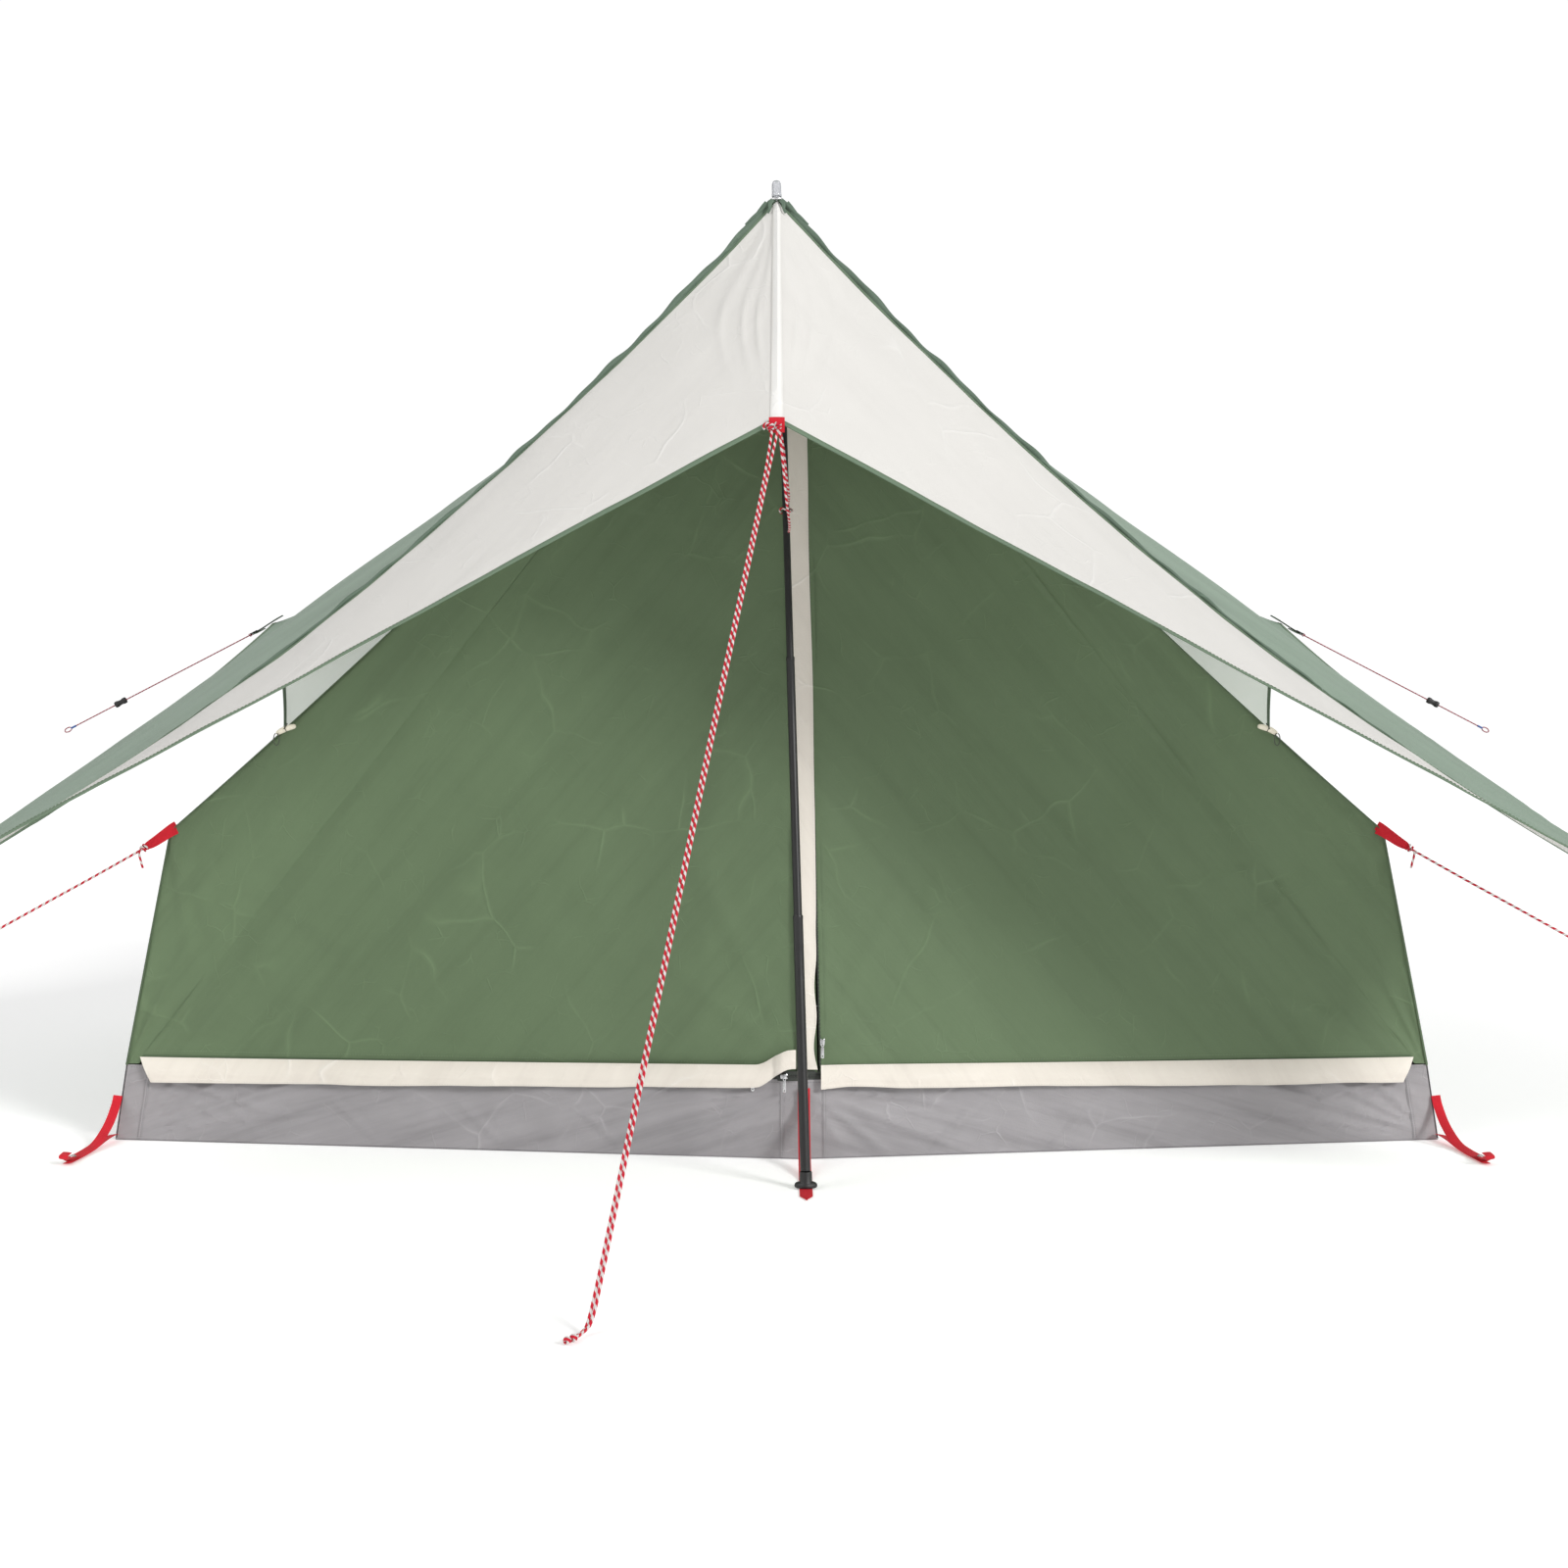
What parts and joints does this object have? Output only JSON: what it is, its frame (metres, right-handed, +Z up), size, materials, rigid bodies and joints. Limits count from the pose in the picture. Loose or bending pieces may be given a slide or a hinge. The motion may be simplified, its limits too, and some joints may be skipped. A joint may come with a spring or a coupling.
{
  "type": "a-frame tent",
  "caption": "Ridge tent with a sloping pole at each end, a zipped two-leaf door under an overhanging beak, a bathtub floor and a flared flysheet.",
  "frame": {"origin": "centre of the groundsheet's underside, on the ground", "axes": "+Z up, +X to the right of a person who faces the door, +Y towards the rear"},
  "size_m": [3.8952, 4.4871, 2.0631],
  "materials": {
    "inner_cloth": "matt polyester cloth, plain weave",
    "fly_cloth": "coated ripstop polyester, soft sheen",
    "beak_cloth": "coated off-white polyester",
    "flap_cloth": "cream polyester",
    "groundsheet": "grey coated oxford cloth",
    "webbing": "red woven webbing",
    "fly_webbing": "green woven webbing",
    "pole_steel": "matt black coated steel tube",
    "pole_foot": "black moulded plastic",
    "toggle": "cream moulded plastic",
    "runner": "black moulded plastic",
    "zip_metal": "bright plated zinc",
    "pole_tip": "clear moulded plastic cap",
    "cord": "braided cord, white with a red fleck"
  },
  "bodies": {
    "root": {"groundsheet_floor": "groundsheet", "tub_front_left": "groundsheet", "tub_front_right": "groundsheet", "tub_left": "groundsheet", "tub_right": "groundsheet", "tub_rear": "groundsheet", "inner_wall_left": "inner_cloth", "inner_wall_right": "inner_cloth", "inner_roof_left": "inner_cloth", "inner_roof_right": "inner_cloth", "rear_wall": "inner_cloth", "door_gusset_left": "inner_cloth", "door_gusset_right": "inner_cloth", "storm_flap_left": "flap_cloth", "storm_flap_right": "flap_cloth", "apex_loop_front": "webbing", "apex_loop_rear": "webbing", "middle_strap_front": "webbing", "middle_strap_rear": "webbing", "corner_strap_front_left": "webbing", "corner_strap_front_right": "webbing", "corner_strap_rear_left": "webbing", "corner_strap_rear_right": "webbing", "side_strap_left": "fly_webbing", "side_strap_right": "fly_webbing", "fly_roof_left": "fly_cloth", "fly_roof_right": "fly_cloth", "fly_beak_front": "beak_cloth", "fly_beak_rear": "beak_cloth", "pole_foot_front": "pole_foot", "pole_foot_rear": "pole_foot", "pole_tube_1_front": "pole_steel", "pole_tube_1_rear": "pole_steel", "front_guy_rope": "cord", "side_guy_left": "cord", "side_guy_right": "cord", "eave_guy_left": "cord", "eave_guy_right": "cord"},
    "door_left_leaf": {"door_left": "inner_cloth", "storm_flap_middle": "flap_cloth"},
    "door_right_leaf": {"door_right": "inner_cloth"},
    "zip_left": {"zip_slider_left": "zip_metal"},
    "pull_left": {"zip_pull_left": "zip_metal"},
    "zip_right": {"zip_slider_right": "zip_metal"},
    "pull_right": {"zip_pull_right": "zip_metal"},
    "zip_middle": {"zip_slider_middle": "zip_metal"},
    "pull_middle": {"zip_pull_middle": "zip_metal"},
    "pole_front_section_2": {"pole_tube_2_front": "pole_steel"},
    "pole_front_section_3": {"pole_tube_3_front": "pole_steel"},
    "pole_front_section_4": {"pole_tube_4_front": "pole_steel", "pole_tip_front": "pole_tip"},
    "pole_rear_section_2": {"pole_tube_2_rear": "pole_steel"},
    "pole_rear_section_3": {"pole_tube_3_rear": "pole_steel"},
    "pole_rear_section_4": {"pole_tube_4_rear": "pole_steel", "pole_tip_rear": "pole_tip"},
    "toggle_left": {"door_toggle_left": "toggle"},
    "runner_left": {"guy_runner_left": "runner"},
    "toggle_right": {"door_toggle_right": "toggle"},
    "runner_right": {"guy_runner_right": "runner"}
  },
  "joints": [
    {"name": "door_left_swing", "type": "hinge", "parent": "root", "child": "door_left_leaf", "pos_m": [-1.405, -1.057, 0.181], "axis": [0.623, -0.072, 0.7789], "range_deg": [0, 85]},
    {"name": "door_right_swing", "type": "hinge", "parent": "root", "child": "door_right_leaf", "pos_m": [1.405, -1.057, 0.181], "axis": [0.623, 0.072, -0.7789], "range_deg": [0, 85]},
    {"name": "zip_left_slide", "type": "slide", "parent": "root", "child": "zip_left", "axis": [-0.9901, 0.1402, 0], "range_m": [0, 1.28]},
    {"name": "pull_left_swing", "type": "hinge", "parent": "zip_left", "child": "pull_left", "pos_m": [-0.05, -1.25373, 0.172], "axis": [-0.9901, 0.1402, 0], "range_deg": [0, 12]},
    {"name": "zip_right_slide", "type": "slide", "parent": "root", "child": "zip_right", "axis": [0.9885, 0.1512, 0], "range_m": [0, 1.34]},
    {"name": "pull_right_swing", "type": "hinge", "parent": "zip_right", "child": "pull_right", "pos_m": [0.015, -1.27335, 0.172], "axis": [-0.9885, -0.1512, 0], "range_deg": [0, 12]},
    {"name": "zip_middle_slide", "type": "slide", "parent": "door_right_leaf", "child": "zip_middle", "axis": [-0.0226, 0.0232, 0.9995], "range_m": [0, 1.42]},
    {"name": "pull_middle_swing", "type": "hinge", "parent": "zip_middle", "child": "pull_middle", "pos_m": [0.09609, -1.26585, 0.243], "axis": [-1, 0, 0], "range_deg": [0, 150]},
    {"name": "pole_front_telescope_2", "type": "slide", "parent": "root", "child": "pole_front_section_2", "axis": [-0.0279, 0.1468, 0.9888], "range_m": [-0.4, 0]},
    {"name": "pole_front_telescope_3", "type": "slide", "parent": "pole_front_section_2", "child": "pole_front_section_3", "axis": [-0.0279, 0.1468, 0.9888], "range_m": [-0.4, 0]},
    {"name": "pole_front_telescope_4", "type": "slide", "parent": "pole_front_section_3", "child": "pole_front_section_4", "axis": [-0.0279, 0.1468, 0.9888], "range_m": [-0.4, 0]},
    {"name": "pole_rear_telescope_2", "type": "slide", "parent": "root", "child": "pole_rear_section_2", "axis": [-0.0279, -0.1468, 0.9888], "range_m": [-0.4, 0]},
    {"name": "pole_rear_telescope_3", "type": "slide", "parent": "pole_rear_section_2", "child": "pole_rear_section_3", "axis": [-0.0279, -0.1468, 0.9888], "range_m": [-0.4, 0]},
    {"name": "pole_rear_telescope_4", "type": "slide", "parent": "pole_rear_section_3", "child": "pole_rear_section_4", "axis": [-0.0279, -0.1468, 0.9888], "range_m": [-0.4, 0]},
    {"name": "toggle_left_swing", "type": "hinge", "parent": "root", "child": "toggle_left", "pos_m": [-1.057, -1.158, 0.915], "axis": [0, 1, 0], "range_deg": [-20, 20]},
    {"name": "runner_left_slide", "type": "slide", "parent": "root", "child": "runner_left", "axis": [-0.8872, 0, -0.4614], "range_m": [-0.28, 0.06]},
    {"name": "toggle_right_swing", "type": "hinge", "parent": "root", "child": "toggle_right", "pos_m": [1.057, -1.158, 0.915], "axis": [0, 1, 0], "range_deg": [-20, 20]},
    {"name": "runner_right_slide", "type": "slide", "parent": "root", "child": "runner_right", "axis": [0.8872, 0, -0.4614], "range_m": [-0.28, 0.06]}
  ]
}
